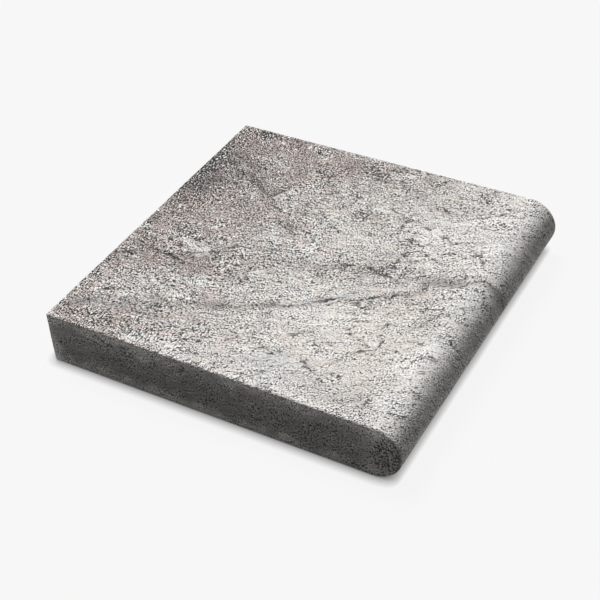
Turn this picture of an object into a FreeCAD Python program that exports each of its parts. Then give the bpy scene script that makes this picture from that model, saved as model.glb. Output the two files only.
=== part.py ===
"""Bullnose tile: a square slab of grey stone whose front edge is worked to a full round nose.

One solid, sawn and ground from one block. The section, in the plane across the nose, is a
rectangle that ends in a half circle as deep as half the thickness, and it runs the whole length
of the tile. Every other edge is square and only eased, so that it doesn't chip: the two ends,
round the nose as well, and the long back edge that butts against the next tile.

The frame: the origin is at the middle of the tile's outline, on the face that is bedded. +X points
across the tile to the nose, +Y runs along the nose and +Z points up to the face that is walked on.
"""

import FreeCAD
import Part
import os

# Driving sizes, in millimetres
TILE_WIDTH = 305.0  # across the tile, from the back edge to the tip of the nose: 12 in
TILE_LENGTH = 305.0  # along the nose: 12 in
TILE_THICKNESS = 47.6  # bedded face to walked face: 1 7/8 in
ARRIS_RADIUS = 1.6  # easing of every square edge

# Sizes that follow from them
NOSE_RADIUS = TILE_THICKNESS / 2  # a full bullnose meets both faces tangentially
BACK_X = -TILE_WIDTH / 2
NOSE_TIP_X = TILE_WIDTH / 2
NOSE_CENTRE_X = NOSE_TIP_X - NOSE_RADIUS
END_Y = TILE_LENGTH / 2

# How close to a plane a point lies to count as on it
PLACE_TOLERANCE = 1e-6


def nose_section():
    """The tile's section at its near end, as a closed wire: bed, nose, walked face and back edge."""
    back_bottom = FreeCAD.Vector(BACK_X, -END_Y, 0)
    bed_end = FreeCAD.Vector(NOSE_CENTRE_X, -END_Y, 0)
    nose_tip = FreeCAD.Vector(NOSE_TIP_X, -END_Y, NOSE_RADIUS)
    top_end = FreeCAD.Vector(NOSE_CENTRE_X, -END_Y, TILE_THICKNESS)
    back_top = FreeCAD.Vector(BACK_X, -END_Y, TILE_THICKNESS)
    return Part.Wire(
        [
            Part.LineSegment(back_bottom, bed_end).toShape(),
            Part.Arc(bed_end, nose_tip, top_end).toShape(),
            Part.LineSegment(top_end, back_top).toShape(),
            Part.LineSegment(back_top, back_bottom).toShape(),
        ]
    )


def sawn_blank():
    """The section carried along the length of the tile, with its edges still sharp."""
    return Part.Face(nose_section()).extrude(FreeCAD.Vector(0, TILE_LENGTH, 0))


def square_edges(blank):
    """The edges that are eased: all that lie in an end face, and the two long ones at the back.

    The two long lines where the nose runs into the flat faces are tangent, so they have no arris.
    """
    chosen = []
    for edge in blank.Edges:
        box = edge.BoundBox
        in_end_face = box.YLength < PLACE_TOLERANCE
        at_the_back = box.XMax < BACK_X + PLACE_TOLERANCE
        if in_end_face or at_the_back:
            chosen.append(edge)
    return chosen


def bullnose_tile():
    """The finished tile: the blank with every square edge eased to the arris radius."""
    blank = sawn_blank()
    return blank.makeFillet(ARRIS_RADIUS, square_edges(blank))


def main():
    """Builds the tile and writes it as one STEP file, named for its node."""
    os.makedirs("parts", exist_ok=True)
    tile = bullnose_tile()
    tile.exportStep("parts/bullnose_tile.step")
    box = tile.optimalBoundingBox(False, False)
    print("valid:", tile.isValid(), "solids:", len(tile.Solids), "faces:", len(tile.Faces))
    print("box, mm:", round(box.XLength, 2), round(box.YLength, 2), round(box.ZLength, 2))
    print("volume, mm3:", round(tile.Volume))


main()
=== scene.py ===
"""Bullnose tile of brushed grey stone, dressed and lit as in a studio, on a pale floor.

The tile is one slab, so it is one closed piece. Its surface is the outside of a block of grid
cells, bent to the tile's section and eased along its square edges. Relief, veins, stains, pits,
and the shade and light painted on the nose and near end are worked out for all its points at
once, and the shader adds the grain that is finer than the grid.
"""

import logging
import math
from dataclasses import dataclass, field
from enum import Enum
from typing import ClassVar

import bpy
import numpy as np
from mathutils import Matrix, Vector


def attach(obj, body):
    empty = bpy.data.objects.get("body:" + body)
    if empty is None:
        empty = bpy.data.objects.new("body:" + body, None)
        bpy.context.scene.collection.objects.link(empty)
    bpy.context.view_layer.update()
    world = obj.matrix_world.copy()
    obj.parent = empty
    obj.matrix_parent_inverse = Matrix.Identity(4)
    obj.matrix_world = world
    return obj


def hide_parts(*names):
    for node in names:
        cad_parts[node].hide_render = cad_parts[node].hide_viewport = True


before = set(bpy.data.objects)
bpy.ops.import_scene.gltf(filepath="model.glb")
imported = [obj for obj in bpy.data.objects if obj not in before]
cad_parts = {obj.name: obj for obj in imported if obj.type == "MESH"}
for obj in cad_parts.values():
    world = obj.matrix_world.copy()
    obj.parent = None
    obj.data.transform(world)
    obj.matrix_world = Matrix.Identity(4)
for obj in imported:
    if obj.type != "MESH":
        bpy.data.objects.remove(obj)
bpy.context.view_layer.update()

MM = 0.001  # the drawing's millimetres in Blender's metres
NOISE_SPAN = {"From Min": 0.35, "From Max": 0.65}  # where most of a Noise Texture's values lie

log = logging.getLogger("bullnose_tile")

Socket = bpy.types.NodeSocket  # a node's output, which feeds other nodes


def linear_colour(hex_colour: str) -> tuple[float, float, float, float]:
    """Turns an sRGB hex colour into the linear colour that a shader takes.

    Args:
        hex_colour: six hex digits, with or without a leading hash.

    Returns:
        Red, green, blue and an alpha of 1, all linear.
    """
    digits = hex_colour.lstrip("#")
    channels = [int(digits[place : place + 2], 16) / 255 for place in (0, 2, 4)]
    linear = [c / 12.92 if c <= 0.04045 else ((c + 0.055) / 1.055) ** 2.4 for c in channels]
    return (linear[0], linear[1], linear[2], 1.0)


def add_node(
    tree: bpy.types.NodeTree,
    kind: str,
    inputs: dict | None = None,
    output: int | str = 0,
    **settings: object,
) -> Socket | None:
    """Adds one node with its settings, socket values and links.

    Args:
        tree: the node tree that the node goes into.
        kind: the node's type, such as "ShaderNodeTexNoise".
        inputs: socket name or number to a plain value, or to the output socket that feeds it.
        output: name or number of the output that is wanted.
        settings: the node's own properties.

    Returns:
        The output asked for, or None where the node has no output.
    """
    node = tree.nodes.new(kind)
    for name, value in settings.items():
        setattr(node, name, value)
    for key, value in (inputs or {}).items():
        if isinstance(value, Socket):
            tree.links.new(value, node.inputs[key])
        else:
            node.inputs[key].default_value = value
    return node.outputs[output] if node.outputs else None


def seen_rays(tree: bpy.types.NodeTree) -> Socket:
    """Picks out the rays that show the background itself: the camera's, and those in gloss and glass.

    Args:
        tree: the node tree that asks.

    Returns:
        1 for such a ray, 0 for any other.
    """
    rays = add_node(tree, "ShaderNodeLightPath").node.outputs
    seen = rays["Is Camera Ray"]
    for other in ("Is Glossy Ray", "Is Transmission Ray"):
        seen = add_node(tree, "ShaderNodeMath", {0: seen, 1: rays[other]}, operation="MAXIMUM")
    return seen


def cleared_tree(owner: bpy.types.Material | bpy.types.World) -> bpy.types.NodeTree:
    """Gives a material or a world an empty node tree.

    Args:
        owner: the material or the world.

    Returns:
        Its tree, ready to be filled.
    """
    owner.use_nodes = True
    owner.node_tree.nodes.clear()
    return owner.node_tree


def add_object(name: str, data: bpy.types.ID) -> bpy.types.Object:
    """Puts a mesh, a lamp or a camera into the scene, at the origin.

    Args:
        name: the object's name.
        data: what it shows.

    Returns:
        The new object.
    """
    added = bpy.data.objects.new(name, data)
    bpy.context.scene.collection.objects.link(added)
    return added


def smooth_step(low: float, high: float, value: np.ndarray) -> np.ndarray:
    """Rises from 0 at low to 1 at high as 3t^2 - 2t^3, and falls where high is the smaller."""
    t = np.clip((value - low) / (high - low), 0.0, 1.0)
    return t * t * (3 - 2 * t)


@dataclass(frozen=True)
class StoneNoise:
    """Smooth solid noise between -1 and 1, from a seeded block of random numbers that repeats."""

    cell: float  # mm, the width of one random cell
    seed: int
    block: int = 48  # cells before the pattern repeats

    def at(self, points: np.ndarray) -> np.ndarray:
        """Noise at each point.

        A point takes the random values of the eight corners of its cell, blended along each
        axis by 3t^2 - 2t^3, where t is how far it lies across the cell.

        Args:
            points: places in millimetres, one row of three each.

        Returns:
            One value for each point.
        """
        values = np.random.default_rng(self.seed).uniform(-1, 1, (self.block,) * 3)
        places = points / self.cell
        corner = np.floor(places).astype(int)
        t = places - corner
        t = t * t * (3 - 2 * t)
        total = np.zeros(len(points))
        for dx in (0, 1):
            for dy in (0, 1):
                for dz in (0, 1):
                    x, y, z = ((corner + (dx, dy, dz)) % self.block).T
                    shares = np.abs(np.array((1 - dx, 1 - dy, 1 - dz)) - t)
                    total += shares.prod(axis=1) * values[x, y, z]
        return total

    def octaves(self, points: np.ndarray, count: int, falloff: float = 0.5) -> np.ndarray:
        """Noise added up over finer and finer cells, each half as wide as the last.

        Args:
            points: places in millimetres, one row of three each.
            count: how many sizes of cell.
            falloff: the strength of each against the last.

        Returns:
            One value for each point.
        """
        total = np.zeros(len(points))
        strength = 1.0
        for step in range(count):
            finer = StoneNoise(self.cell / 2**step, self.seed + 101 * step, self.block)
            total += strength * finer.at(points)
            strength *= falloff
        return total

    def shift(self, points: np.ndarray, count: int) -> np.ndarray:
        """Two noises side by side, to shift each point along the skin both ways."""
        other = StoneNoise(self.cell, self.seed + 1, self.block)
        return np.stack([self.octaves(points, count), other.octaves(points, count)], -1)


class Mark(Enum):
    """What a mark does to the stone where it lies. Each value names the shader's attribute."""

    DARK = "dark"  # dark mineral, and one band of painted shade across the near end
    PALE = "pale"  # bleached stone, and painted light: along the nose's top and round the near end's edges
    TAUPE = "taupe"  # rosy, dimmer stone
    COOL = "cool"  # smooth blue-grey stone
    PITTED = "pitted"  # open pits and dark flecks
    SPOT = "spot"  # one black speck
    SMOOTH = "smooth"  # closer grain, with fewer pits


@dataclass(frozen=True)
class Stain:
    """A cloud in the stone's face, a soft, ragged ellipse: mostly of the stone's own colour, a few of
    painted light and shade.
    """

    mark: Mark
    x: float  # mm across the tile, towards the nose
    y: float  # mm along the nose
    long: float  # mm, half its length
    short: float  # mm, half its breadth
    strength: float
    turn: float = 0.0  # degrees from the x axis to its length

    def cover(self, laid_out: np.ndarray) -> np.ndarray:
        """How far each point is covered: strength times exp(-d^3), where d is 1 on the ellipse.

        Args:
            laid_out: points of the unfolded skin, already shaken by noise.

        Returns:
            One share for each point.
        """
        angle = math.radians(self.turn)
        dx = laid_out[:, 0] - self.x
        dy = laid_out[:, 1] - self.y
        along = (dx * math.cos(angle) + dy * math.sin(angle)) / self.long
        aside = (dy * math.cos(angle) - dx * math.sin(angle)) / self.short
        return self.strength * np.exp(-((along**2 + aside**2) ** 1.5))


@dataclass(frozen=True)
class Vein:
    """A hairline in the stone: a dark line with a soft grey border."""

    points: tuple[tuple[float, float], ...]  # mm, laid-out points that it runs through
    darkness: float  # of the line
    border: float  # mm, half the breadth of the soft border
    haze: float  # how dark the border is

    def side(self, laid_out: np.ndarray) -> np.ndarray:
        """Distance of each laid-out point from the vein, in millimetres, less than 0 on its right.

        The nearest place on a run is the point's shadow on it, held between the run's two ends,
        and the side is the sign of the cross product of the run and the way to the point.

        Args:
            laid_out: points of the unfolded skin.

        Returns:
            One signed distance for each point.
        """
        line = np.array(self.points, float)
        nearest = np.full(len(laid_out), 1e9)
        for start, end in zip(line[:-1], line[1:]):
            run = end - start
            offset = laid_out - start
            share = np.clip(offset @ run / (run @ run), 0, 1)
            gap = offset - share[:, None] * run
            sign = np.where(run[0] * offset[:, 1] - run[1] * offset[:, 0] < 0, -1.0, 1.0)
            distance = sign * np.hypot(gap[:, 0], gap[:, 1])
            nearest = np.where(np.abs(distance) < np.abs(nearest), distance, nearest)
        return nearest


@dataclass
class TileShape:
    """The tile's sizes in millimetres, as in the CAD model, and its surface as a grid.

    The grid is the outside of a block of cells: across runs from the back edge to the nose, along
    runs with the nose, and deep runs from the bed up. The nose takes the block's whole end: its
    middle quarter turn is the block's end face, and an eighth turn each side belongs to the top
    and to the bed.
    """

    width: float = 305.0
    length: float = 305.0
    thickness: float = 47.6
    arris_radius: float = 1.6
    cells: int = 240  # both across and along
    cells_deep: int = 32
    edge_step: float = 0.4  # breadth of an edge cell, in middle cells
    edge_cells: float = 3.0  # how many cells from the edge the breadths even out
    # Rings of the bed's grid: how many cells in from the edge, and how many cells wide its cells are
    bed_rings: tuple[tuple[int, int], ...] = ((3, 2), (9, 4), (21, 8))

    @property
    def nose_radius(self) -> float:
        """A full bullnose meets both faces tangentially."""
        return self.thickness / 2

    @property
    def nose_centre(self) -> float:
        """Where the nose's axis lies across the tile."""
        return self.width / 2 - self.nose_radius

    def shares(self, count: int) -> np.ndarray:
        """Grid lines with narrower cells towards both ends, for the eased edges.

        A cell is 1 - (1 - edge_step) times exp(-(cells from the end / edge_cells)^2) broad.

        Args:
            count: how many cells there are.

        Returns:
            The lines' places, from 0 to 1.
        """
        cell = np.arange(count)
        from_end = np.minimum(cell, count - 1 - cell)
        breadth = 1 - (1 - self.edge_step) * np.exp(-((from_end / self.edge_cells) ** 2))
        return np.concatenate(([0.0], np.cumsum(breadth))) / breadth.sum()

    def top_side(self, share: np.ndarray) -> np.ndarray:
        """The section's top: the flat, then the nose's first eighth turn.

        Args:
            share: share of the way along it, from the back edge.

        Returns:
            The x and z of each point, in millimetres.
        """
        radius = self.nose_radius
        flat = self.nose_centre + self.width / 2
        travelled = share * (flat + radius * math.pi / 4)
        turned = np.maximum(travelled - flat, 0) / radius
        x = np.minimum(travelled, flat) - self.width / 2 + radius * np.sin(turned)
        return np.stack([x, radius + radius * np.cos(turned)], -1)

    def nose_side(self, share: np.ndarray) -> np.ndarray:
        """The nose's middle quarter turn, from below to above.

        Args:
            share: share of the way up it.

        Returns:
            The x and z of each point, in millimetres.
        """
        turned = math.pi * (0.75 - share / 2)
        x = self.nose_centre + self.nose_radius * np.sin(turned)
        return np.stack([x, self.nose_radius + self.nose_radius * np.cos(turned)], -1)

    def section(self, across: np.ndarray, up: np.ndarray) -> tuple[np.ndarray, np.ndarray]:
        """Points of the tile's section.

        The section is a patch between four sides: bed, top, back edge and the nose's middle
        quarter turn. A point inside is the blend of bed and top by its height, plus the blend
        of back and nose by its share across, less the blend of the four corners by both.

        Args:
            across: share of the way from the back edge to the nose, along the top's own length.
            up: share of the way from the bed to the top.

        Returns:
            The x and the z of each point, in millimetres.
        """
        top = self.top_side(across)
        bed = top * (1, -1) + (0, self.thickness)
        back = np.stack([np.full_like(up, -self.width / 2), up * self.thickness], -1)
        nose = self.nose_side(up)
        nose_top = self.top_side(np.ones(1))[0]
        nose_bed = nose_top * (1, -1) + (0, self.thickness)
        back_top = np.array([-self.width / 2, self.thickness])
        back_bed = np.array([-self.width / 2, 0.0])
        a, u = across[..., None], up[..., None]
        corners = (1 - a) * ((1 - u) * back_bed + u * back_top)
        corners += a * ((1 - u) * nose_bed + u * nose_top)
        place = (1 - u) * bed + u * top + (1 - a) * back + a * nose - corners
        return place[..., 0], place[..., 1]

    def placed(self, across: np.ndarray, along: np.ndarray, deep: np.ndarray) -> np.ndarray:
        """Points of the sharp-edged tile at grid places, which may lie between grid lines.

        Args:
            across: grid places from the back edge to the nose.
            along: grid places along the nose.
            deep: grid places from the bed up.

        Returns:
            The points, in millimetres.
        """
        cell_lines = np.arange(self.cells + 1)
        deep_lines = np.arange(self.cells_deep + 1)
        shares = self.shares(self.cells)
        up = np.interp(deep, deep_lines, self.shares(self.cells_deep))
        x, z = self.section(np.interp(across, cell_lines, shares), up)
        y = (np.interp(along, cell_lines, shares) - 0.5) * self.length
        return np.stack([x, y, z], -1)

    def grid(self) -> tuple[np.ndarray, list[list[int]]]:
        """The closed surface of the sharp-edged tile.

        Every side but the bed has the full grid. The bed's cells double in breadth over three
        rings, each joined to the next by three triangles for every coarser cell.

        Returns:
            The points in millimetres, and the faces as lists of point numbers, facing outwards.
        """
        n, deep = self.cells, self.cells_deep
        number = np.full((n + 1, n + 1, deep + 1), -1)
        shell = np.zeros(number.shape, bool)
        shell[[0, n]] = True
        shell[:, [0, n]] = True
        shell[:, :, deep] = True
        number[shell] = np.arange(shell.sum())
        points = [self.placed(*np.nonzero(shell))]
        quads = [
            self.cells_of(number[:, :, deep]),
            self.cells_of(number[:, 0, :]),
            self.cells_of(number[:, n, :].T),
            self.cells_of(number[n, :, :]),
            self.cells_of(number[0, :, :].T),
        ]
        triangles = []
        outer = self.rim(number[:, :, 0])
        count = int(shell.sum())
        for inset, coarser in self.bed_rings:
            lines = np.linspace(inset, n - inset, n // coarser + 1)
            across, along = np.meshgrid(lines, lines, indexing="ij")
            last = (inset, coarser) == self.bed_rings[-1]
            square = np.full(across.shape, -1)
            used = np.ones(across.shape, bool)
            if not last:
                used[1:-1, 1:-1] = False
            square[used] = count + np.arange(used.sum())
            count += int(used.sum())
            points.append(self.placed(across[used], along[used], np.zeros(used.sum())))
            inner = self.rim(square)
            triangles.append(self.strip(outer, inner))
            outer = inner
            if last:
                quads.append(self.cells_of(square.T))
        faces = np.concatenate(quads).tolist() + np.concatenate(triangles).tolist()
        return np.concatenate(points), faces

    @staticmethod
    def cells_of(numbers: np.ndarray) -> np.ndarray:
        """The four corners of each cell of a grid of point numbers, first index first."""
        corners = (numbers[:-1, :-1], numbers[1:, :-1], numbers[1:, 1:], numbers[:-1, 1:])
        return np.stack(corners, -1).reshape(-1, 4)

    @staticmethod
    def rim(numbers: np.ndarray) -> np.ndarray:
        """The point numbers round a square grid, each once."""
        sides = [numbers[:-1, 0], numbers[-1, :-1], numbers[:0:-1, -1], numbers[0, :0:-1]]
        return np.concatenate(sides)

    @staticmethod
    def strip(outer: np.ndarray, inner: np.ndarray) -> np.ndarray:
        """Three triangles for each cell of the inner rim, out to two cells of the outer one.

        Args:
            outer: the outer rim's point numbers.
            inner: the inner rim's, half as many.

        Returns:
            Three point numbers for each triangle.
        """
        start, middle, end = outer[0::2], outer[1::2], np.roll(outer, -2)[0::2]
        inner_end = np.roll(inner, -1)
        fans = [(middle, start, inner), (inner_end, middle, inner), (end, middle, inner_end)]
        return np.concatenate([np.stack(fan, -1) for fan in fans])

    def eased(self, sharp: np.ndarray) -> tuple[np.ndarray, np.ndarray]:
        """Rounds the square edges as a rolling ball does.

        Each point is drawn to the nearest point of the tile shrunk by the arris radius, and
        set back out from there by that radius.

        Args:
            sharp: points of the sharp-edged tile, in millimetres.

        Returns:
            The eased points, and the outward normal at each.
        """
        ease = self.arris_radius
        radius = self.nose_radius
        core = sharp.copy()
        core[:, 0] = np.maximum(core[:, 0], ease - self.width / 2)
        core[:, 1] = np.clip(core[:, 1], ease - self.length / 2, self.length / 2 - ease)
        core[:, 2] = np.clip(core[:, 2], ease, self.thickness - ease)
        in_nose = sharp[:, 0] > self.nose_centre
        spoke = sharp[in_nose][:, [0, 2]] - (self.nose_centre, radius)
        reach = np.hypot(spoke[:, 0], spoke[:, 1])
        spoke *= np.minimum(1, (radius - ease) / np.maximum(reach, 1e-9))[:, None]
        core[np.ix_(in_nose, [0, 2])] = spoke + (self.nose_centre, radius)
        out = sharp - core
        normals = out / np.linalg.norm(out, axis=1, keepdims=True)
        return core + ease * normals, normals

    def round_nose(self, points: np.ndarray) -> np.ndarray:
        """How far round the nose's axis each point lies, in radians from straight up."""
        return np.arctan2(points[:, 0] - self.nose_centre, points[:, 2] - self.nose_radius)

    def laid_out(self, points: np.ndarray) -> np.ndarray:
        """Points as if the skin were unfolded flat round the top: nose, ends and back folded up.

        Args:
            points: places on the tile, in millimetres.

        Returns:
            The x and y of each on the unfolded skin.
        """
        drop = self.thickness - points[:, 2]
        flat = points[:, :2].copy()
        in_nose = points[:, 0] > self.nose_centre
        flat[in_nose, 0] = self.nose_centre + self.nose_radius * self.round_nose(points)[in_nose]
        end = np.abs(points[:, 1]) > self.length / 2 - self.arris_radius / 2
        flat[end, 0] = points[end, 0]
        flat[end, 1] += np.sign(points[end, 1]) * drop[end]
        back = points[:, 0] < self.arris_radius / 2 - self.width / 2
        flat[back, 0] -= drop[back]
        return flat


@dataclass
class StonePattern:
    """The stone's own drawing on the walked face, nose and near end, its wear, and the shade and light
    painted on the nose and near end.
    """

    shape: TileShape
    drift: float = 0.3  # slope of the grain at the tile's middle, rising towards the nose
    drift_across: float = 0.0026  # more slope for each millimetre towards the nose
    drift_along: float = -0.0009  # and for each millimetre towards the far end
    sawn_drift: float = 0.3  # slope of the streaks on the sawn sides
    bed_normal: float = -0.7  # a point whose normal's z is less belongs to the bed
    vein_noise: StoneNoise = StoneNoise(8.0, 11)
    vein_shake: float = 1.6  # mm, how far its noise shifts a vein or a speck
    stain_noise: StoneNoise = StoneNoise(16.0, 13)
    stain_shake: float = 6.0  # mm, how far its noise shifts the edge of any other stain
    grain_noise: StoneNoise = StoneNoise(32.0, 51)
    grain_shake: float = 4.0  # mm, how far its noise shifts the grain
    vein_reach: float = 4.0  # mm from a vein, where its strength has fallen to about a third
    vein_limit: float = 20.0  # mm, past which the way to a vein doesn't matter
    wave_noise: StoneNoise = StoneNoise(26.0, 21)
    wave_falloff: float = 0.55
    wave_depth: float = 0.16  # mm, the mean depth that brushing wears away
    sawn_waves: float = 0.35  # share of the waves on the sawn sides
    groove_depth: float = 0.3  # mm, along a vein
    groove_width: float = 1.2  # mm, half of it
    hole_noise: StoneNoise = StoneNoise(3.4, 22)
    hole_levels: tuple[float, float] = (0.25, 0.7)  # of the noise, at a hole's edge and bottom
    hole_depth: float = 0.5  # mm, in pitted patches
    sawn_noise: StoneNoise = StoneNoise(5.0, 31)
    sawn_shake: float = 0.5  # mm, how far its noise shifts the line where the brushing ends
    sawn_drops: tuple[float, float] = (0.5, 1.9)  # mm below the brushed skin, where it fades out
    nose_shade_start: tuple[float, float] = (22, 55)  # degrees round the nose, where the painted shade on its lower front sets in
    nose_shade_end: tuple[float, float] = (97, 84)  # and where it has ended, and starts to end
    arris_leans: tuple[float, float] = (0.02, 0.25)  # how far from square a normal leans on an arris
    arris_wear: float = 0.12  # mm, everywhere along an arris
    chip_noise: StoneNoise = StoneNoise(4.5, 41)
    chip_levels: tuple[float, float] = (0.05, 0.9)  # of the noise, at a chip's edge and bottom
    chip_depth: float = 0.75  # mm more where it is chipped

    # The main vein runs from the near back corner to the nose, and the rest branch off or cross it
    veins: ClassVar[tuple[Vein, ...]] = (
        Vein(((-142, -128), (-118, -119), (-96, -113), (-78, -105)), 0.0, 8.0, 0.75),
        Vein(((-80, -99), (-66, -96), (-56, -92), (-46, -88), (-36, -86)), 0.3, 6.0, 0.7),
        Vein(((-38, -86), (-28, -84), (-20, -79), (-13, -75), (-6, -72), (0, -67)), 0.75, 4.5, 0.6),
        Vein(((0, -67), (12, -63), (20, -59), (26, -53), (34, -45)), 0.8, 4.5, 0.5),
        Vein(((34, -45), (39, -41), (44, -38), (52, -37), (60, -35)), 0.8, 4.0, 0.4),
        Vein(((60, -34), (63, -29), (67, -25), (72, -23)), 1.0, 2.5, 0.4),
        Vein(((76, -20), (80, -21), (81, -15), (86, -12), (92, -8), (95, -3), (99, 3)), 1.0, 3.0, 0.5),
        Vein(
            ((98, 3), (101, 11), (108, 18), (118, 20), (128, 24), (138, 31), (150, 31), (172, 37)),
            0.55, 6.0, 0.6,
        ),
        Vein(((96, 6), (106, 12), (116, 14), (126, 19)), 0.4, 4.0, 0.45),
        Vein(((68, -29), (71, -38)), 0.7, 1.5, 0.2),
        Vein(((58, -37), (66, -39), (70, -37)), 0.7, 1.5, 0.2),
        Vein(
            ((-98, -40), (-90, -37), (-84, -34), (-78, -29), (-72, -26), (-69, -21), (-64, -16)),
            0.8, 2.5, 0.35,
        ),
        Vein(
            ((-64, -16), (-58, -12), (-50, -11), (-44, -8), (-38, -7), (-26, -2), (-12, 2)),
            0.8, 2.0, 0.3,
        ),
        Vein(((-120, -13), (-114, -16), (-106, -18)), 1.0, 2.5, 0.5),
        Vein(
            ((-142, -41), (-136, -43), (-128, -48), (-122, -45), (-116, -46), (-98, -49)),
            1.0, 3.0, 0.5,
        ),
        Vein(((-152, -66), (-142, -60), (-132, -52)), 0.4, 7.0, 0.5),
        Vein(((-39, -51), (-31, -50)), 0.9, 1.5, 0.2),
        Vein(((-4, -2), (-7, -8)), 0.9, 1.5, 0.2),
        Vein(((-106, 77), (-98, 73), (-90, 69), (-84, 67), (-78, 63), (-72, 61)), 0.9, 3.0, 0.45),
        Vein(((-72, 61), (-69, 65), (-68, 72), (-64, 76)), 0.8, 2.5, 0.3),
        Vein(((-68, 50), (-60, 47), (-55, 45)), 0.9, 2.0, 0.3),
        Vein(((-45, 29), (-35, 26), (-27, 21)), 0.7, 2.0, 0.3),
        Vein(((-40, 98), (-30, 93), (-22, 89)), 0.8, 2.0, 0.3),
        Vein(((-37, 128), (-30, 127)), 0.9, 1.5, 0.2),
        Vein(((-12, 139), (-3, 136), (5, 131)), 0.9, 2.5, 0.4),
        Vein(((-7, 129), (-1, 125), (8, 121)), 1.0, 2.5, 0.4),
        Vein(((19, 125), (26, 121), (31, 118)), 0.9, 2.0, 0.3),
        Vein(((28, 90), (36, 84), (44, 80), (58, 80), (64, 77), (71, 73)), 0.8, 2.0, 0.25),
        Vein(((49, 82), (49, 70), (50, 60), (51, 54)), 0.95, 2.0, 0.25),
        Vein(((8, 73), (14, 70), (20, 73), (26, 78)), 0.7, 1.5, 0.2),
        Vein(((86, 71), (92, 66)), 1.0, 1.5, 0.2),
        Vein(((109, 65), (116, 61), (122, 57), (129, 50)), 1.0, 1.5, 0.2),
        Vein(((119, 61), (122, 64), (127, 67)), 0.7, 1.5, 0.1),
        Vein(((20, 12), (23, 5), (27, -1)), 0.8, 2.0, 0.3),
        Vein(((45, 9), (52, 8), (57, 5), (66, 6), (74, 1)), 0.8, 2.5, 0.3),
        Vein(((112, -19), (109, -31)), 0.6, 2.0, 0.25),
        Vein(((124, -23), (119, -31), (114, -38), (111, -48)), 0.4, 3.0, 0.5),
        Vein(((97, -64), (97, -72), (96, -79), (88, -84), (82, -91)), 0.8, 1.5, 0.25),
        Vein(((92, -49), (91, -57)), 1.0, 1.2, 0.2),
        Vein(((65, -66), (72, -70), (80, -73), (87, -78)), 0.7, 1.5, 0.15),
        Vein(((17, -112), (31, -115)), 0.7, 1.5, 0.15),
        Vein(((54, -113), (63, -119)), 0.8, 1.5, 0.2),
        Vein(((128, -57), (121, -59)), 0.8, 1.5, 0.2),
        Vein(((-153, 53), (-147, 50), (-140, 48)), 1.0, 2.5, 0.3),
        Vein(((-125, 95), (-116, 84), (-106, 77)), 0.5, 2.5, 0.3),
        Vein(((63, 103), (70, 104), (79, 102)), 0.7, 2.5, 0.4),
        Vein(((64, 108), (70, 108)), 0.9, 1.2, 0.2),
    )

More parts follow.
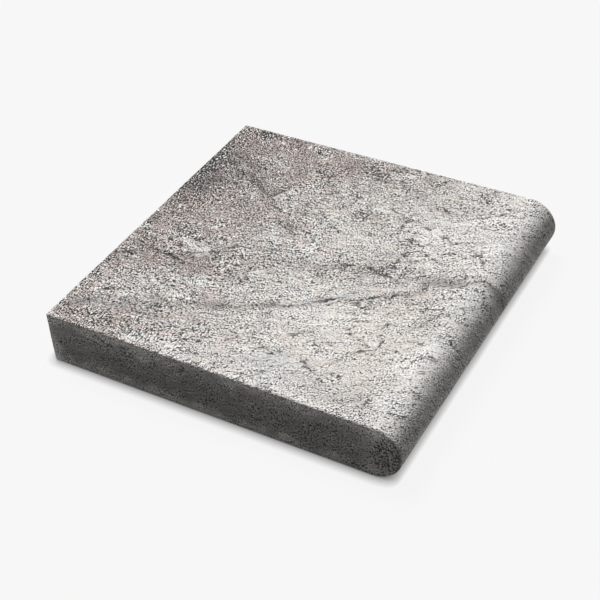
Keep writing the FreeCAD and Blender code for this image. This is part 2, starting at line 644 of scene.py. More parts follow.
    # Each row gives x, y, half the length, half the breadth, the strength and, if it is turned, the turn
    stains: ClassVar[tuple[Stain, ...]] = tuple(
        Stain(mark, *row)
        for mark, rows in {
            Mark.TAUPE: (
                (-190, 20, 155, 300, 0.85), (-100, 120, 110, 60, 0.45), (-40, 132, 70, 26, 0.45),
                (-120, -136, 60, 20, 0.55), (-80, 40, 60, 30, 0.3), (60, 15, 30, 20, 0.2),
                (-84, -50, 50, 12, 0.5, 4), (0, -12, 60, 9, 0.3, 6), (60, 118, 50, 24, 0.15),
                (96, -132, 56, 15, 0.3), (112, -18, 32, 16, 0.25),
            ),
            Mark.DARK: (
                (-156, 72, 56, 20, 0.95, 90), (-134, 86, 50, 46, 0.5), (-148, 54, 24, 30, 0.8),
                (66, 22, 24, 16, 0.2), (-90, 70, 20, 3.5, 0.7, -24), (-68, 69, 10, 3, 0.6, 65),
                (-123, 146, 14, 6, 0.8), (-92, 146, 14, 8, 0.4, -10), (-50, 111, 15, 8, 0.35),
                (10, 148, 16, 5, 0.35), (43, 146, 12, 9, 0.4), (66, 46, 10, 8, 0.25),
                (104, 14, 12, 8, 0.35, 30), (120, 16, 10, 6, 0.3, 10), (-34, 31, 9, 6, 0.3, -20),
                (-136, -56, 8, 6, 0.35, 45), (-147, -66, 8, 7, 0.5), (-150, -88, 8, 8, 0.35),
                (-148, -10, 8, 12, 0.35), (-112, -51, 44, 8, 0.15, 4), (-76, -50, 22, 10, 0.22),
                (-35, -22, 26, 7, 0.2, 35), (10, -12, 34, 6, 0.15, 5), (50, 6, 22, 7, 0.25, 20),
                (-44, -106, 13, 4, 0.2, -30), (64, 120, 32, 22, 0.12), (80, -96, 32, 4, 0.18, 47),
                (121, -35, 16, 3.5, 0.3, 52), (22, 58, 12, 8, 0.15), (76, -103, 6, 6, 0.2),
                (111, -112, 7, 7, 0.15), (36, -134, 12, 4, 0.2, -10), (124, 106, 10, 4, 0.15),
                # (0, -178) is painted shade: a darker band across the middle of the near end
                (-20, 130, 30, 15, 0.14), (-118, 96, 20, 12, 0.12), (0, -178, 160, 11, 0.5),
                (144, -176, 17, 24, 0.75),
            ),
            Mark.SPOT: (
                (-17, 56, 3, 2, 1.0, -20), (-3, 43, 2.2, 2, 0.8), (-77, -106, 5, 2, 0.9),
                (-80, -81, 2, 1.5, 0.9), (-133, -141, 2.5, 2.5, 0.9), (-118, -135, 3, 2, 0.8, -20),
                (-55, -117, 1.5, 2, 0.8), (-138, -43, 2.5, 1.5, 0.9), (-91, -77, 2, 1.5, 0.7),
                (33, -110, 2, 1.5, 0.9), (52, -91, 2.5, 1.5, 0.9, -30), (84, -116, 3.5, 2.5, 0.8),
                (93, -107, 1.5, 1.5, 0.8), (96, -79, 2, 1.5, 0.8), (115, -130, 1.5, 3, 0.8),
                (142, -44, 2, 3, 0.9), (86, -34, 1.5, 2.5, 0.8), (41, -39, 3, 1.5, 0.9, 20),
                (67, -25, 3, 1.2, 0.8, 30), (81, -15, 1.5, 3, 0.8), (35, -19, 1.5, 1.5, 0.7),
                (3, -92, 1.2, 3, 0.7), (-23, 90, 3, 1.5, 0.8), (-22, 119, 2.5, 2, 0.8),
                (-39, 112, 1.5, 2.5, 0.8), (-52, 113, 3, 1.5, 0.8, -40), (-73, 24, 2, 2.5, 0.7),
                (-29, 8, 2, 1.2, 0.8), (27, 148, 3, 2, 0.9), (52, 137, 2.5, 3, 0.9),
                (93, 136, 3.5, 2, 1.0), (97, 132, 2, 2, 0.9), (95, 148, 2, 2.5, 0.9),
                (75, 126, 3, 1.2, 0.8), (17, 67, 1.5, 2.5, 0.9), (49, 67, 1.2, 3, 0.9),
                (97, 67, 2.5, 1.2, 0.9), (93, 81, 1.5, 1.5, 0.8), (113, 97, 1.5, 1.5, 0.8),
                (119, 97, 2, 1.5, 0.8), (133, 98, 2, 1.5, 0.8), (65, 34, 2, 2, 0.8),
                (76, 10, 1.8, 1.5, 0.8), (57, 5, 3.5, 1.2, 0.9), (33, 1, 6, 1.5, 0.9, -15),
                (115, 25, 1.2, 2.5, 0.8), (145, 16, 1.5, 4, 0.8), (-117, 143, 3, 2, 1.0),
                (-146, 66, 3, 5, 0.9), (-135, 92, 4, 2, 0.9, -30), (-125, 95, 3, 1.2, 0.8, -30),
                (-138, 76, 2, 3, 0.8),
            ),
            Mark.PALE: (
                (-100, -23, 24, 4, 0.7, -3), (-66, -69, 12, 7, 0.8), (-106, -92, 40, 18, 0.25),
                (20, -58, 26, 16, 0.35), (-98, -81, 13, 2.5, 0.9, 18), (-97, -62, 5, 3, 0.8),
                (-110, -100, 7, 4, 0.8, -20), (-137, -114, 5, 3, 0.7), (-146, -26, 6, 2.5, 1.0, 15),
                (-115, 91, 6, 1.5, 0.8), (-100, 112, 16, 7, 0.4), (-58, 66, 9, 6, 0.5),
                (-38, 8, 10, 5, 0.4), (17, 78, 6, 3, 0.9, 10), (53, 60, 1.5, 4, 0.9),
                (46, -62, 22, 10, 0.4), (61, -75, 15, 10, 0.25), (25, 34, 13, 8, 0.35),
                (74, 71, 17, 12, 0.3), (124, -85, 14, 15, 0.25), (98, 70, 48, 60, 0.35),
                (20, -144, 60, 5, 0.25), (-60, -143, 30, 6, 0.5), (134, 86, 12, 14, 0.5),
                # (137, 0) is a painted highlight along the top of the nose, and (-152, -176) painted
                # light down the near end's left edge
                (-34, -35, 5, 4, 0.6), (137, 0, 15, 300, 0.85), (-152, -176, 9, 40, 0.5),
                # (-95, -156), (60, -155) and (-20, -200) are painted light along the near end's top and
                # bottom
                (-95, -156, 75, 5, 0.35), (60, -155, 100, 5, 0.25), (-20, -200, 170, 9, 0.75),
            ),
            Mark.SMOOTH: (
                (84, -84, 62, 62, 0.7), (40, -122, 60, 24, 0.4), (112, 96, 50, 56, 0.35),
            ),
            Mark.COOL: (
                (-112, -117, 22, 6, 0.6, 15), (-92, -33, 14, 4, 0.4, 10), (14, -66, 14, 7, 0.6, 30),
                (28, -125, 22, 10, 0.5, 20), (60, -130, 70, 18, 0.35), (57, -18, 8, 8, 0.6),
                (50, -34, 12, 4, 0.8, 10), (32, -45, 12, 6, 0.7, 35), (-114, 72, 16, 8, 0.5),
                (137, 92, 6, 10, 0.5),
            ),
            Mark.PITTED: (
                (-147, 76, 50, 12, 1.0, 90), (-134, 90, 16, 10, 0.7, -30), (-122, 147, 14, 6, 0.8),
                (-50, 111, 13, 7, 0.6), (68, 46, 12, 8, 0.4), (70, 106, 10, 5, 0.5),
                (30, 1, 13, 5, 0.9), (50, 7, 10, 4, 0.9, -15), (65, 12, 7, 9, 0.8),
                (-34, 28, 9, 5, 0.7, -30), (-68, -34, 9, 5, 0.5), (-120, -136, 26, 8, 0.6),
                (-146, -86, 8, 16, 0.6), (-144, -8, 9, 14, 0.6), (-110, -12, 26, 6, 0.6, -5),
                (-92, -77, 10, 3, 0.7), (62, -117, 10, 4, 0.6), (118, -130, 5, 5, 0.7),
                (66, -37, 6, 3, 0.7), (96, 137, 8, 8, 0.6), (52, 141, 6, 8, 0.6),
                (-8, 133, 20, 7, 0.6, -15), (12, 70, 9, 6, 0.7, -20), (116, 104, 16, 9, 0.25),
                (122, 57, 8, 5, 0.5, -30), (122, -75, 12, 10, 0.4), (144, 20, 7, 12, 0.4),
                (148, 130, 14, 22, 0.35), (143, -176, 15, 18, 1.0), (131, -166, 8, 5, 0.7),
                (132, -178, 9, 8, 0.7), (-137, -177, 7, 4, 0.9), (-127, -169, 7, 2.5, 0.8, 15),
                (-105, -158, 5, 3, 0.9), (-92, -161, 4, 2, 0.8), (-74, -163, 7, 5, 0.8, -40),
                (-96, -177, 12, 4, 0.7), (-24, -162, 4, 2, 0.8), (7, -165, 5, 3, 0.8, 30),
                (50, -155, 12, 2.5, 0.7), (55, -184, 5, 2, 0.9, 20), (85, -172, 14, 5, 0.8),
                (86, -184, 9, 3, 0.7), (104, -160, 5, 2, 0.8), (113, -175, 4, 2, 0.8),
                (120, -192, 5, 3, 0.6),
            ),
        }.items()
        for row in rows
    )

    def marked(self, mark: Mark, laid_out: np.ndarray) -> np.ndarray:
        """How far the stains of one mark cover each point: 1 less the product of what each leaves.

        Args:
            mark: whose stains they are.
            laid_out: points of the unfolded skin, already shaken by noise.

        Returns:
            A share from 0 to 1 for each point.
        """
        clear = np.ones(len(laid_out))
        for stain in self.stains:
            if stain.mark is mark:
                clear *= 1 - stain.cover(laid_out)
        return 1 - clear

    def veined(self, laid_out: np.ndarray) -> tuple[np.ndarray, np.ndarray, np.ndarray]:
        """The veins near each point.

        Args:
            laid_out: points of the unfolded skin, already shaken by noise.

        Returns:
            How many millimetres each point lies from the nearest vein, less than 0 on its right;
            how strong that vein is, as darkness times exp(-(distance / reach)^2); and how dark
            the soft borders are.
        """
        nearest = np.full(len(laid_out), 1e9)
        strength = np.zeros(len(laid_out))
        haze = np.zeros(len(laid_out))
        for vein in self.veins:
            side = vein.side(laid_out)
            closer = np.abs(side) < np.abs(nearest)
            nearest = np.where(closer, side, nearest)
            strength = np.where(
                closer, vein.darkness * np.exp(-((side / self.vein_reach) ** 2)), strength
            )
            haze = 1 - (1 - haze) * (1 - vein.haze * np.exp(-((side / vein.border) ** 2)))
        return np.clip(nearest, -self.vein_limit, self.vein_limit), strength, haze

    def grained(
        self, points: np.ndarray, laid_out: np.ndarray, normals: np.ndarray, sawn: np.ndarray
    ) -> np.ndarray:
        """Where each point lies along and across the stone's grain, in millimetres.

        On the brushed face the grain follows lines on which y less the drift's rise is the same,
        and the rise is x times (drift + half of drift_across times x + drift_along times y). On
        the sawn sides it runs level, but for a slight slope. Both wander by noise.

        Args:
            points: the eased points.
            laid_out: the same points on the unfolded skin.
            normals: the outward normal at each.
            sawn: 1 on the sawn sides, 0 on the brushed ones.

        Returns:
            Along, across and 0 for each point.
        """
        x, y = laid_out[:, 0], laid_out[:, 1]
        rise = x * (self.drift + self.drift_across * x / 2 + self.drift_along * y)
        brushed = np.stack([x, y - rise, np.zeros_like(x)], -1)
        level = points[:, 0] + points[:, 1]
        side = np.stack([level, points[:, 2] - self.sawn_drift * level, np.zeros_like(x)], -1)
        bed = points * (1, 1, 0)
        side = np.where((normals[:, 2] < self.bed_normal)[:, None], bed, side)
        way = np.where((sawn > 0.5)[:, None], side, brushed)
        way[:, :2] += self.grain_shake * self.grain_noise.shift(points, 2)
        return way

    def drawn(self, points: np.ndarray, normals: np.ndarray) -> tuple[dict[str, np.ndarray], np.ndarray]:
        """The whole pattern at the tile's points.

        Args:
            points: the eased points, in millimetres.
            normals: the outward normal at each.

        Returns:
            The shader's attributes by name, and how deep the surface is worn at each point, in
            millimetres.
        """
        flat = self.shape.laid_out(points)
        shaken = flat + self.vein_shake * self.vein_noise.shift(points, 3)
        ragged = flat + self.stain_shake * self.stain_noise.shift(points, 3)
        side, strength, haze = self.veined(shaken)
        sawn = self.sawn(points)
        brushed = 1 - sawn
        attributes = {
            mark.value: self.marked(mark, shaken if mark is Mark.SPOT else ragged) for mark in Mark
        }
        for mark in (Mark.TAUPE, Mark.COOL):
            attributes[mark.value] *= brushed
        attributes["vein"] = strength * brushed
        attributes["vein_side"] = side
        attributes["haze"] = haze * brushed
        attributes["sawn"] = sawn
        # painted shade on the nose's lower front
        attributes["rubbed"] = self.rubbed(points) * brushed
        attributes["grain"] = self.grained(points, flat, normals, sawn)
        height = 1 + self.wave_noise.octaves(points, 4, self.wave_falloff)
        waves = self.wave_depth * height.clip(0, 2)
        waves *= self.sawn_waves + (1 - self.sawn_waves) * brushed
        grooves = self.groove_depth * strength * brushed * np.exp(-((side / self.groove_width) ** 2))
        holes = smooth_step(*self.hole_levels, self.hole_noise.octaves(points, 2))
        holes *= self.hole_depth * attributes[Mark.PITTED.value] * brushed
        return attributes, waves + grooves + holes + self.chipped(points, normals)

    def sawn(self, points: np.ndarray) -> np.ndarray:
        """Tells the sawn ends, back edge and bed from the brushed top and nose.

        The change lies at the arris: a point counts as sawn by how far it lies below the
        brushed skin, from the lower of sawn_drops to the higher.

        Args:
            points: the eased points, in millimetres.

        Returns:
            1 on the sawn sides, 0 on the brushed ones.
        """
        shape = self.shape
        drop = shape.thickness - points[:, 2]
        past_centre = points[:, 0] - shape.nose_centre
        inward = shape.nose_radius - np.hypot(past_centre, points[:, 2] - shape.nose_radius)
        below = np.where(past_centre > 0, inward, drop)
        wobble = self.sawn_shake * self.sawn_noise.octaves(points, 2)
        return smooth_step(*self.sawn_drops, below + wobble)

    def rubbed(self, points: np.ndarray) -> np.ndarray:
        """1 on the nose's lower front, where shade is painted on it, and 0 well away from it."""
        turned = np.degrees(self.shape.round_nose(points))
        return smooth_step(*self.nose_shade_start, turned) * smooth_step(*self.nose_shade_end, turned)

    def chipped(self, points: np.ndarray, normals: np.ndarray) -> np.ndarray:
        """How deep the arrises are chipped: only where the normal leans between two faces.

        Args:
            points: the eased points, in millimetres.
            normals: the outward normal at each.

        Returns:
            A depth for each point, in millimetres.
        """
        lean = 1 - np.abs(normals).max(axis=1)
        near_end = np.abs(points[:, 1]) > self.shape.length / 2 - self.shape.arris_radius
        near_back = points[:, 0] < self.shape.arris_radius - self.shape.width / 2
        on_arris = smooth_step(*self.arris_leans, lean) * (near_end | near_back)
        bites = smooth_step(*self.chip_levels, self.chip_noise.octaves(points, 3))
        return on_arris * (self.arris_wear + self.chip_depth * bites)


@dataclass(frozen=True)
class GrainNoise:
    """A smooth noise in the stone, drawn out along its grain."""

    breadth: float  # mm across the grain
    drawn_out: float  # its length over its breadth
    detail: float
    roughness: float

    def add(self, tree: bpy.types.NodeTree, place: Socket) -> Socket:
        """Adds the noise to a tree.

        Args:
            tree: the node tree that it goes into.
            place: places along and across the grain, in millimetres.

        Returns:
            The noise, from 0 to 1.
        """
        squeeze = (1 / (self.breadth * self.drawn_out), 1 / self.breadth, 0.0)
        squeezed = add_node(tree, "ShaderNodeVectorMath", {0: place, 1: squeeze}, operation="MULTIPLY")
        inputs = {"Vector": squeezed, "Scale": 1.0, "Detail": self.detail, "Roughness": self.roughness}
        return add_node(tree, "ShaderNodeTexNoise", inputs, noise_dimensions="2D")


@dataclass(frozen=True)
class GrainCells:
    """Crystals packed side by side: each place belongs to the nearest of many random middles."""

    breadth: float  # mm across the grain
    length: float  # mm along it

    def add(self, tree: bpy.types.NodeTree, place: Socket) -> tuple[Socket, Socket]:
        """Adds the crystals to a tree.

        Args:
            tree: the node tree that they go into.
            place: places along and across the grain, in millimetres.

        Returns:
            The distance from the crystal's middle, in breadths or lengths of it, and its lot, a
            random number from 0 to 1.
        """
        squeeze = (1 / self.length, 1 / self.breadth, 0.0)
        squeezed = add_node(tree, "ShaderNodeVectorMath", {0: place, 1: squeeze}, operation="MULTIPLY")
        inputs = {"Vector": squeezed, "Scale": 1.0}
        distance = add_node(tree, "ShaderNodeTexVoronoi", inputs, "Distance", voronoi_dimensions="2D")
        lot = add_node(tree, "ShaderNodeSeparateColor", {0: distance.node.outputs["Color"]})
        return distance, lot


@dataclass
class StoneTree:
    """A material's node tree while it grows, with the stone's marks and noises by name."""

    tree: bpy.types.NodeTree
    fields: dict[str, Socket] = field(default_factory=dict)

    def weighed(self, start: float, **weights: float) -> Socket:
        """A number plus several fields, each times its weight.

        Args:
            start: the number.
            weights: field names, each with its weight.

        Returns:
            The sum.
        """
        total = start
        for name, weight in weights.items():
            inputs = {0: self.fields[name], 1: weight, 2: total}
            total = add_node(self.tree, "ShaderNodeMath", inputs, operation="MULTIPLY_ADD")
        return total

    def times(self, *factors: Socket | float) -> Socket:
        """Several numbers multiplied together.

        Args:
            factors: sockets and plain numbers.

        Returns:
            The product.
        """
        total = factors[0]
        for factor in factors[1:]:
            total = add_node(self.tree, "ShaderNodeMath", {0: total, 1: factor}, operation="MULTIPLY")
        return total

    def laid_over(self, colour: Socket | tuple, *layers: tuple[Socket, str]) -> Socket:
        """A colour with others laid over it, in order.

        Args:
            colour: the one underneath.
            layers: for each, the share that it covers and its hex colour.

        Returns:
            The new colour.
        """
        for share, shade in layers:
            inputs = {0: share, 6: colour, 7: linear_colour(shade)}
            colour = add_node(self.tree, "ShaderNodeMix", inputs, output=2, data_type="RGBA")
        return colour


@dataclass(frozen=True)
class BrushedStone:
    """Grey stone, wire-brushed on the walked face and nose, sawn on its other sides.

    Brushing opens the grain, so pale grains stand in dark seams, small black pits with pale
    rims lie among them, and nothing shines. Sawn sides are plainer, with the stone's layers showing
    as faint streaks, and darker: partly the sawn stone's own grey and partly painted shade, for the
    near end lies in shade. Real grains are finer: these are as coarse as they must be
    to show in the picture.
    """

    name: str = "stone_brushed_face_sawn_sides"
    body: str = "#D8D0CA"
    taupe: str = "#91837F"
    cool: str = "#C1C4C5"
    pale: str = "#F2EEE9"
    # a dark mineral's colour, also used for the band of painted shade across the near end
    dark_mineral_and_shade: str = "#6A6562"
    vein_grey: str = "#8F8C89"
    vein_line: str = "#43403E"
    quartz: str = "#FDFCFA"
    pit_black: str = "#1F1D1B"
    # darker than the sawn stone alone: partly its own grey, partly painted shade for the shaded near end
    sawn_grey_and_shade: str = "#8D8B88"
    whitest: float = 0.97  # no mineral throws back more light
    roughness: float = 0.82  # brushed stone scatters nearly all it reflects
    ior: float = 1.55  # of quartz and feldspar
    specular_level: float = 0.3  # a porous face mirrors less than a polished one
    liveliness: tuple[float, float] = (0.4, 1.35)  # how strongly plain and lively patches are marked
    grain_contrast: float = 5.3  # a grain's middle against its seams
    grain_ring: float = 0.42  # breadths from a grain's middle to where it has the mean tone
    grain_lots: tuple[float, float] = (0.25, 1.5)  # contrast at lot 0, and how much more at lot 1
    relief: float = 0.9  # mm, how far the wear between hard and soft grains goes
    sunk: float = 0.3  # mm, how deep pits and hairlines lie
    pit_limit: float = 0.042  # share of crystals that are pits where nothing gathers them
    fleck_limit: float = 0.05  # share that are white flecks
    limit_blur: float = 0.01  # of a lot, how softly these limits cut
    pit_edge: float = 0.54  # breadths from a pit's middle to its edge
    pit_core: float = 0.46  # and to where it is fully black
    pit_rim: float = 0.68  # and to where its rim is whitest
    rim_share: float = 0.6  # how far a rim covers the stone
    pit_share: float = 0.95
    pit_gather: tuple[float, float] = (0.3, 0.46)  # how far mottle and streaks gather the pits
    fleck_gather: tuple[float, float] = (0.3, 0.3)  # and the flecks
    crack_breadth: float = 0.03  # how far a hairline reaches from its noise's middle value
    crack_levels: tuple[float, float] = (0.8, 0.96)  # of mottle and clouds, where hairlines show
    crack_edge: tuple[float, float] = (0.3, 0.6)  # nearness to a hairline, where it starts to darken
    crack_share: float = 0.55
    line_stray: float = 6.0  # mm, how far a vein's dark line strays about its course
    line_start: float = -0.35  # mm, its half width at strength 0, so that a faint vein breaks off
    line_streaks: float = 1.5  # mm, how far the streaks widen and narrow it
    line_mottle: float = 4.5  # mm, how far the mottle does
    line_edge: tuple[float, float] = (-0.3, 0.15)  # mm inside its half width, from clear to dark
    line_share: float = 0.85
    rubbed_share: float = 0.5
    crystal_shake: tuple[float, float, float] = (1.4, 1.1, 0.0)  # mm, for ragged crystal edges

    # Clouds and mottle are the stone's layers, streaks are its bedding, and worn is the brushing
    noises: ClassVar[dict[str, GrainNoise]] = {
        "clouds": GrainNoise(20.0, 2.2, 5.0, 0.6),
        "mottle": GrainNoise(6.0, 3.5, 3.0, 0.6),
        "streaks": GrainNoise(2.8, 6.0, 3.0, 0.6),
        "quiet": GrainNoise(9.0, 2.0, 2.0, 0.5),
        "cracks": GrainNoise(14.0, 2.4, 3.0, 0.6),
        "stray": GrainNoise(2.4, 1.4, 3.0, 0.65),
        "worn": GrainNoise(1.8, 0.85, 0.0, 0.5),
    }
    # How dark and how pale each noise makes the stone
    tones: ClassVar[dict[str, tuple[float, float]]] = {
        "clouds": (0.9, 1.09),
        "mottle": (0.95, 1.05),
        "streaks": (0.87, 1.12),
    }
    crystals: ClassVar[dict[str, GrainCells]] = {
        "grain": GrainCells(1.6, 1.0),
        "pit": GrainCells(1.95, 1.55),
        "fleck": GrainCells(1.4, 1.0),
    }

    def add_fields(self, stone: StoneTree) -> None:
        """Adds the marks drawn on the mesh, and the noises and crystals that all else is made of.

        Args:
            stone: the tree that they go into.
        """
        tree = stone.tree
        drawn = [mark.value for mark in Mark] + ["vein", "vein_side", "haze", "sawn", "rubbed"]
        for name in drawn:
            stone.fields[name] = add_node(tree, "ShaderNodeAttribute", output="Fac", attribute_name=name)
        grain = add_node(tree, "ShaderNodeAttribute", output="Vector", attribute_name="grain")
        for name, noise in self.noises.items():
            stone.fields[name] = noise.add(tree, grain)

        # Crystals have ragged edges: noise shifts each place by up to half of crystal_shake
        inputs = {"Vector": grain, "Scale": 1.0, "Detail": 2.0}
        jitter = add_node(tree, "ShaderNodeTexNoise", inputs, "Color", noise_dimensions="2D")
        inputs = {0: jitter, 1: self.crystal_shake, 2: grain}
        ragged = add_node(tree, "ShaderNodeVectorMath", inputs, operation="MULTIPLY_ADD")
        for name, cells in self.crystals.items():
            stone.fields[name + "_off"], stone.fields[name + "_lot"] = cells.add(tree, ragged)

        # Some patches are plain and some lively; all is softer where the stone is hazy, and in the
        # painted shade on the nose
        plain, lively = self.liveliness
        inputs = NOISE_SPAN | {"Value": stone.fields["quiet"], "To Min": plain, "To Max": lively}
        lively = add_node(tree, "ShaderNodeMapRange", inputs)
        clear = stone.weighed(
            1.0, sawn=-0.4, haze=-0.6, cool=-0.5, rubbed=-0.3, pale=-0.25, taupe=0.75, smooth=-0.6
        )
        stone.fields["fresh"] = stone.times(clear, lively)

    def ground_tone(self, stone: StoneTree) -> Socket:
        """The stone's colour under its pits: the marks' colours over each other, clouded and grained.

        Args:
            stone: the tree, with its fields.

        Returns:
            The colour.
        """
        fields = stone.fields
        tone = stone.laid_over(
            linear_colour(self.body),
            (fields["taupe"], self.taupe),
            (fields["cool"], self.cool),
            # the painted shade on the nose's lower front, laid on in cool grey
            (stone.times(fields["rubbed"], self.rubbed_share), self.cool),
            # the sawn sides' grey, which also paints the near end's shade
            (fields["sawn"], self.sawn_grey_and_shade),
            # pale stone, and the light painted on the nose's top and the near end's edges
            (fields["pale"], self.pale),
            # dark mineral, and the painted shade band on the near end
            (fields["dark"], self.dark_mineral_and_shade),
            (fields["haze"], self.vein_grey),
        )
        # the painted shade on the nose also dims it by a quarter
        level = stone.weighed(1.0, rubbed=-0.25)
        for name, (low, high) in self.tones.items():
            inputs = NOISE_SPAN | {"Value": fields[name], "To Min": low, "To Max": high}
            level = stone.times(level, add_node(stone.tree, "ShaderNodeMapRange", inputs))

        # A grain is palest in its middle and darkens to its seams, some grains more than others
        least, more = self.grain_lots
        inside = stone.weighed(self.grain_ring, grain_off=-1.0)
        fields["rise"] = stone.times(inside, stone.weighed(least, grain_lot=more), fields["fresh"])
        level = stone.times(level, stone.weighed(1.0, rise=self.grain_contrast))
        tone = add_node(stone.tree, "ShaderNodeVectorMath", {0: tone, "Scale": level}, operation="SCALE")
        inputs = {0: tone, 1: (self.whitest,) * 3}
        return add_node(stone.tree, "ShaderNodeVectorMath", inputs, operation="MINIMUM")

    def with_pits(self, stone: StoneTree, colour: Socket) -> Socket:
        """The colour with black pits, the pale rims round them, and white flecks.

        A crystal is a pit where its lot is below a limit, and a fleck where another lot is above
        another limit. Marks and noises shift the limits, so the pits gather in pitted patches,
        along veins and hairlines and in drawn-out clusters. The noises' mean is a half, so half
        their weights is taken off again.

        Args:
            stone: the tree, with its fields.
            colour: the ground tone.

        Returns:
            The new colour.
        """
        by_mottle, by_streaks = self.pit_gather
        pitted = stone.weighed(
            self.pit_limit + (by_mottle + by_streaks) / 2,
            pit_lot=-1.0,
            mottle=-by_mottle,
            streaks=-by_streaks,
            pitted=0.5,
            spot=0.8,
            dark=0.18,
            taupe=0.055,
            vein=0.15,
            by_crack=0.5,
            haze=-0.1,
            sawn=-0.1,
            # fewer pits in the painted shade on the nose
            rubbed=-0.05,
            smooth=-0.1,
        )
        by_mottle, by_streaks = self.fleck_gather
        white = stone.weighed(
            self.fleck_limit - 1 - (by_mottle + by_streaks) / 2,
            fleck_lot=1.0,
            mottle=by_mottle,
            streaks=by_streaks,
            pitted=0.03,
            dark=-0.1,
            haze=-0.1,
            sawn=-0.1,
        )
        shares = []
        for value, low, high in (
            (pitted, -self.limit_blur, self.limit_blur),
            (stone.fields["pit_off"], self.pit_edge, self.pit_core),
            (stone.fields["pit_off"], self.pit_edge, self.pit_rim),
            (white, -self.limit_blur, self.limit_blur),
        ):
            inputs = {"Value": value, "From Min": low, "From Max": high}
            shares.append(add_node(stone.tree, "ShaderNodeMapRange", inputs))
        here, core, rim, white = shares
        fresh = stone.fields["fresh"]
        stone.fields["black"] = stone.times(here, core)
        return stone.laid_over(
            colour,
            (stone.times(here, rim, fresh, self.rim_share), self.quartz),
            (stone.times(white, fresh), self.quartz),
            (stone.times(stone.fields["black"], self.pit_share), self.pit_black),
        )

    def add_hairlines(self, stone: StoneTree) -> None:
        """Adds hairlines of the stone's own: where a wide noise passes through its middle value.

        Args:
            stone: the tree, with its fields.
        """
        tree = stone.tree
        off_line = stone.weighed(-0.5, cracks=1.0)
        off_line = add_node(tree, "ShaderNodeMath", {0: off_line}, operation="ABSOLUTE")
        inputs = {"Value": off_line, "From Min": self.crack_breadth, "From Max": 0.0}
        near = add_node(tree, "ShaderNodeMapRange", inputs)
        low, high = self.crack_levels
        present = stone.weighed(-0.15, mottle=1.0, clouds=1.0, sawn=-0.1, smooth=-0.12)
        inputs = {"Value": present, "From Min": low, "From Max": high}
        present = add_node(tree, "ShaderNodeMapRange", inputs)
        stone.fields["by_crack"] = stone.times(near, present)
        low, high = self.crack_edge
        inputs = {"Value": stone.fields["by_crack"], "From Min": low, "From Max": high}
        stone.fields["crack"] = add_node(tree, "ShaderNodeMapRange", inputs)

    def add_vein_line(self, stone: StoneTree) -> None:
        """Adds the drawn veins' dark line, which is thin and broken and strays about its course.

        Noises shift it and change its width. Their mean is a half, so half their weights comes off.

        Args:
            stone: the tree, with its fields.
        """
        tree = stone.tree
        course = stone.weighed(-self.line_stray / 2, vein_side=1.0, stray=self.line_stray)
        stone.fields["off_course"] = add_node(tree, "ShaderNodeMath", {0: course}, operation="ABSOLUTE")
        inside = stone.weighed(
            self.line_start - (self.line_streaks + self.line_mottle) / 2,
            vein=0.7,
            streaks=self.line_streaks,
            mottle=self.line_mottle,
            off_course=-1.0,
        )
        low, high = self.line_edge
        inputs = {"Value": inside, "From Min": low, "From Max": high}
        stone.fields["line"] = add_node(tree, "ShaderNodeMapRange", inputs)

    def bump(self, stone: StoneTree) -> Socket:
        """The relief that is too fine for the mesh: worn grains, and sunk pits and lines.

        Args:
            stone: the tree, with its fields.

        Returns:
            The normal.
        """
        # in hazy patches, in cool ones and in the painted shade on the nose, grains stand out less
        keen = stone.weighed(1.0, rubbed=-0.75, haze=-0.3, cool=-0.3)
        stone.fields["wear"] = stone.times(stone.fields["worn"], keen, stone.fields["fresh"])
        sunk = -self.sunk
        height = stone.weighed(0.0, wear=self.relief, black=sunk, line=sunk, crack=sunk)
        return add_node(stone.tree, "ShaderNodeBump", {"Height": height, "Strength": 1.0, "Distance": MM})

    def material(self) -> bpy.types.Material:
        """Makes the finished material.

        Returns:
            The material, with its node tree.
        """
        material = bpy.data.materials.new(self.name)
        tree = cleared_tree(material)
        stone = StoneTree(tree)
        self.add_fields(stone)
        self.add_hairlines(stone)
        self.add_vein_line(stone)
        colour = self.with_pits(stone, self.ground_tone(stone))
        for name, share in (("crack", self.crack_share), ("line", self.line_share)):
            colour = stone.laid_over(colour, (stone.times(stone.fields[name], share), self.vein_line))
        surface = {
            "Base Color": colour,
            "Roughness": self.roughness,
            "IOR": self.ior,
            "Specular IOR Level": self.specular_level,
            "Normal": self.bump(stone),
        }
        surface = add_node(tree, "ShaderNodeBsdfPrincipled", surface)
        add_node(tree, "ShaderNodeOutputMaterial", {"Surface": surface})
        return material


@dataclass
class BullnoseTile:
    """The tile itself: one closed slab of stone."""

    shape: TileShape
    pattern: StonePattern
    finish: BrushedStone

    def build(self) -> bpy.types.Object:
        """Makes the slab's mesh, draws the stone on it and dresses it.

        Returns:
            The slab, which stands for the CAD model's solid.
        """
        sharp, faces = self.shape.grid()
        points, normals = self.shape.eased(sharp)
        attributes, depth = self.pattern.drawn(points, normals)
        points = points - depth[:, None] * normals
        mesh = bpy.data.meshes.new("stone_slab")
        mesh.from_pydata((points * MM).tolist(), [], faces)
        mesh.polygons.foreach_set("use_smooth", np.ones(len(faces), bool))
        for name, values in attributes.items():
            kind, slot = ("FLOAT", "value") if values.ndim == 1 else ("FLOAT_VECTOR", "vector")
            layer = mesh.attributes.new(name, kind, "POINT")
            layer.data.foreach_set(slot, values.astype(np.float32).ravel())
        mesh.update()
        mesh.materials.append(self.finish.material())
        slab = add_object("stone_slab", mesh)
        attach(slab, "root")
        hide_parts("bullnose_tile")
        triangles = sum(len(face) - 2 for face in faces)
        log.info("stone_slab: %d points, %d triangles", len(points), triangles)
        return slab


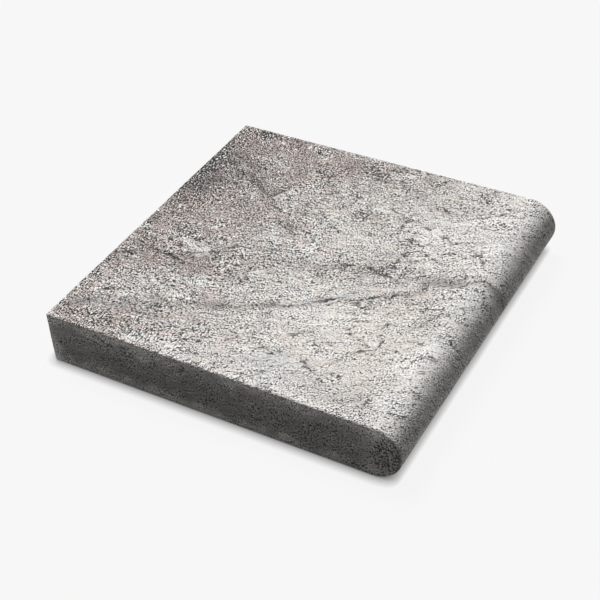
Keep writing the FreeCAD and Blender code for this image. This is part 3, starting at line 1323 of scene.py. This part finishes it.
@dataclass
class StudioFloor:
    """A plain pale floor that shows nearly white and still takes the tile's shadow."""

    half_width: float = 4.0  # m
    gap: float = 0.2  # mm under the tile's bed
    paint: str = "#B2B2B2"
    seen_white: float = 0.972  # linear level that the camera sees, away from the tile
    seen_share: float = 0.92  # how much of what the camera sees is that level
    contact: float = 9.0  # mm, how far the darkness where the tile meets the floor reaches
    contact_power: float = 1.3  # how fast it deepens

    def build(self) -> bpy.types.Object:
        """Lays the floor a hair under the tile's bed.

        Returns:
            The floor, which isn't part of the object.
        """
        side, height = self.half_width, -self.gap * MM
        corners = ((-side, -side), (side, -side), (side, side), (-side, side))
        mesh = bpy.data.meshes.new("studio_floor")
        mesh.from_pydata([(x, y, height) for x, y in corners], [], [(0, 1, 2, 3)])
        mesh.materials.append(self.material())
        floor = add_object("studio_floor", mesh)
        log.info("studio_floor: %.0f m square", 2 * side)
        return floor

    def material(self) -> bpy.types.Material:
        """Matt paint, whitened only for the camera and for mirror images.

        The white is dimmed where the tile closes off the sky close by, as contact shadow is.

        Returns:
            The new material.
        """
        material = bpy.data.materials.new("floor_matt_paint")
        tree = cleared_tree(material)
        paint = add_node(tree, "ShaderNodeBsdfDiffuse", {"Color": linear_colour(self.paint)})
        inputs = {"Distance": self.contact * MM}
        open_sky = add_node(tree, "ShaderNodeAmbientOcclusion", inputs, output="AO", samples=8)
        level = add_node(tree, "ShaderNodeMath", {0: open_sky, 1: self.contact_power}, operation="POWER")
        level = add_node(tree, "ShaderNodeMath", {0: level, 1: self.seen_white}, operation="MULTIPLY")
        white = add_node(tree, "ShaderNodeEmission", {"Color": (1.0, 1.0, 1.0, 1.0), "Strength": level})
        inputs = {0: seen_rays(tree), 1: self.seen_share}
        share = add_node(tree, "ShaderNodeMath", inputs, operation="MULTIPLY")
        both = add_node(tree, "ShaderNodeMixShader", {0: share, 1: paint, 2: white})
        add_node(tree, "ShaderNodeOutputMaterial", {"Surface": both})
        return material


@dataclass
class StudioLight:
    """One broad lamp above the tile's back edge, and a dim even surround."""

    toward: tuple[float, float, float] = (-0.45, 0.30, 0.84)  # from the tile to the lamp
    strength: float = 3.65  # W per square metre, about that at which a colour renders as written
    spread: float = 30.0  # degrees, how broad the lamp looks
    surround: float = 0.076  # linear level of the light from all round
    backdrop: float = 0.93  # linear level that the camera sees past the floor's edge

    def build(self) -> None:
        """Hangs the lamp and sets the surround."""
        lamp = bpy.data.lights.new("key_lamp", "SUN")
        lamp.energy = self.strength
        lamp.angle = math.radians(self.spread)
        hung = add_object("key_lamp", lamp)
        hung.rotation_mode = "QUATERNION"
        hung.rotation_quaternion = Vector(self.toward).to_track_quat("Z", "Y")
        world = bpy.data.worlds.new("studio_surround")
        bpy.context.scene.world = world
        tree = cleared_tree(world)
        grey = (self.surround,) * 3 + (1.0,)
        pale_grey = (self.backdrop,) * 3 + (1.0,)
        dim = add_node(tree, "ShaderNodeBackground", {"Color": grey, "Strength": 1.0})
        pale = add_node(tree, "ShaderNodeBackground", {"Color": pale_grey, "Strength": 1.0})
        both = add_node(tree, "ShaderNodeMixShader", {0: seen_rays(tree), 1: dim, 2: pale})
        add_node(tree, "ShaderNodeOutputWorld", {"Surface": both})
        log.info("key_lamp and studio_surround are set")


@dataclass
class PhotoCamera:
    """The camera, where the photograph's perspective puts it."""

    aim: tuple[float, float, float] = (3.07, -26.93, 23.8)  # mm, seen at the picture's middle
    distance: float = 1037.2  # mm
    azimuth: float = 31.03  # degrees, 0 looks along +Y
    elevation: float = 39.247  # degrees above the horizon
    roll: float = -3.356  # degrees
    lens: float = 77.476  # mm
    sensor: float = 36.0  # mm wide

    def build(self) -> bpy.types.Object:
        """Sets the camera up.

        Returns:
            The scene's camera.
        """
        a, e, roll = (math.radians(angle) for angle in (self.azimuth, self.elevation, self.roll))
        back = Vector((math.sin(a) * math.cos(e), -math.cos(a) * math.cos(e), math.sin(e)))
        right = Vector((math.cos(a), math.sin(a), 0.0))
        up = back.cross(right)
        rolled_right = math.cos(roll) * right + math.sin(roll) * up
        rolled_up = back.cross(rolled_right)
        data = bpy.data.cameras.new("photo_camera")
        data.lens = self.lens
        data.sensor_width = self.sensor
        camera = add_object("photo_camera", data)
        turned = Matrix((rolled_right, rolled_up, back)).transposed()
        place = (Vector(self.aim) + self.distance * back) * MM
        camera.matrix_world = Matrix.Translation(place) @ turned.to_4x4()
        bpy.context.scene.camera = camera
        log.info("photo_camera is set")
        return camera


def main() -> None:
    """Builds the tile, the floor, the light and the camera, in that order."""
    logging.basicConfig(level=logging.INFO, format="%(name)s: %(message)s")
    bpy.context.scene.view_settings.view_transform = "Standard"
    shape = TileShape()
    BullnoseTile(shape, StonePattern(shape), BrushedStone()).build()
    StudioFloor().build()
    StudioLight().build()
    PhotoCamera().build()


if __name__ == "__main__":
    main()
